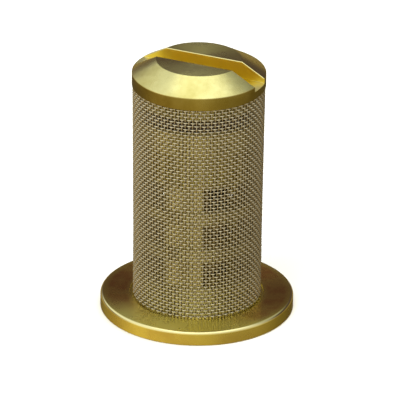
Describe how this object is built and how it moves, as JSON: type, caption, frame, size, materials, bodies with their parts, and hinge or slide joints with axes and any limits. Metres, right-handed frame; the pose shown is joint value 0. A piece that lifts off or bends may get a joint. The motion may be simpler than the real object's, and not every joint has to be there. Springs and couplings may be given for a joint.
{
  "type": "oil burner nozzle strainer",
  "caption": "Flanged brass strainer with a woven wire screen, a slotted screw cap and a spring-loaded ball check valve inside.",
  "frame": {"origin": "centre of the flange's underside, which is the face that the strainer stands on", "axes": "+Z along the strainer's axis from the flange to the slotted cap; -Y is the side with the front pillar, 13.5 degrees towards -X"},
  "size_m": [0.015, 0.015, 0.0207],
  "materials": {
    "body_brass": "turned brass, lightly tarnished, fine turning lines",
    "cap_brass": "bright turned brass with a satin cone and fine turning lines",
    "tube_brass": "drawn brass tube, satin",
    "screen_steel": "plain woven stainless wire cloth with worn bright knuckles",
    "seam_solder": "dull solder along a lapped edge",
    "ball_steel": "polished ball-bearing steel",
    "spring_steel": "drawn spring wire, bright",
    "brown_rubber": "brown fluoro rubber, matte",
    "seal_rubber": "dark brown fluoro rubber, matte",
    "black_acetal": "machined black acetal"
  },
  "bodies": {
    "core": {"flanged_body": "body_brass", "outlet_tube": "tube_brass", "valve_seat": "black_acetal", "seat_seal": "seal_rubber"},
    "ball": {"check_ball": "ball_steel", "check_spring": "spring_steel"},
    "screen": {"screen_cloth": "screen_steel", "screen_seam": "seam_solder"},
    "gasket": {"cap_gasket": "brown_rubber"},
    "cap": {"slotted_cap": "cap_brass"}
  },
  "joints": [
    {"name": "ball_lift", "type": "slide", "parent": "core", "child": "ball", "axis": [0, 0, -1], "range_m": [0, 0.0012], "stiffness_N_per_m": 168, "springref_m": -0.00065, "deforming": ["check_spring"]},
    {"name": "screen_lift", "type": "slide", "parent": "core", "child": "screen", "axis": [0, 0, 1], "range_m": [0, 0.016]},
    {"name": "cap_rise", "type": "slide", "parent": "screen", "child": "gasket", "axis": [0, 0, 1], "range_m": [0, 0.00244]},
    {"name": "cap_turn", "type": "hinge", "parent": "gasket", "child": "cap", "pos_m": [0, 0, 0.0164], "axis": [0, 0, 1], "range_deg": [0, 1172]}
  ],
  "couplings": [
    {"joint": "cap_turn", "follows": "cap_rise", "rad_per_m": 8377.6}
  ]
}
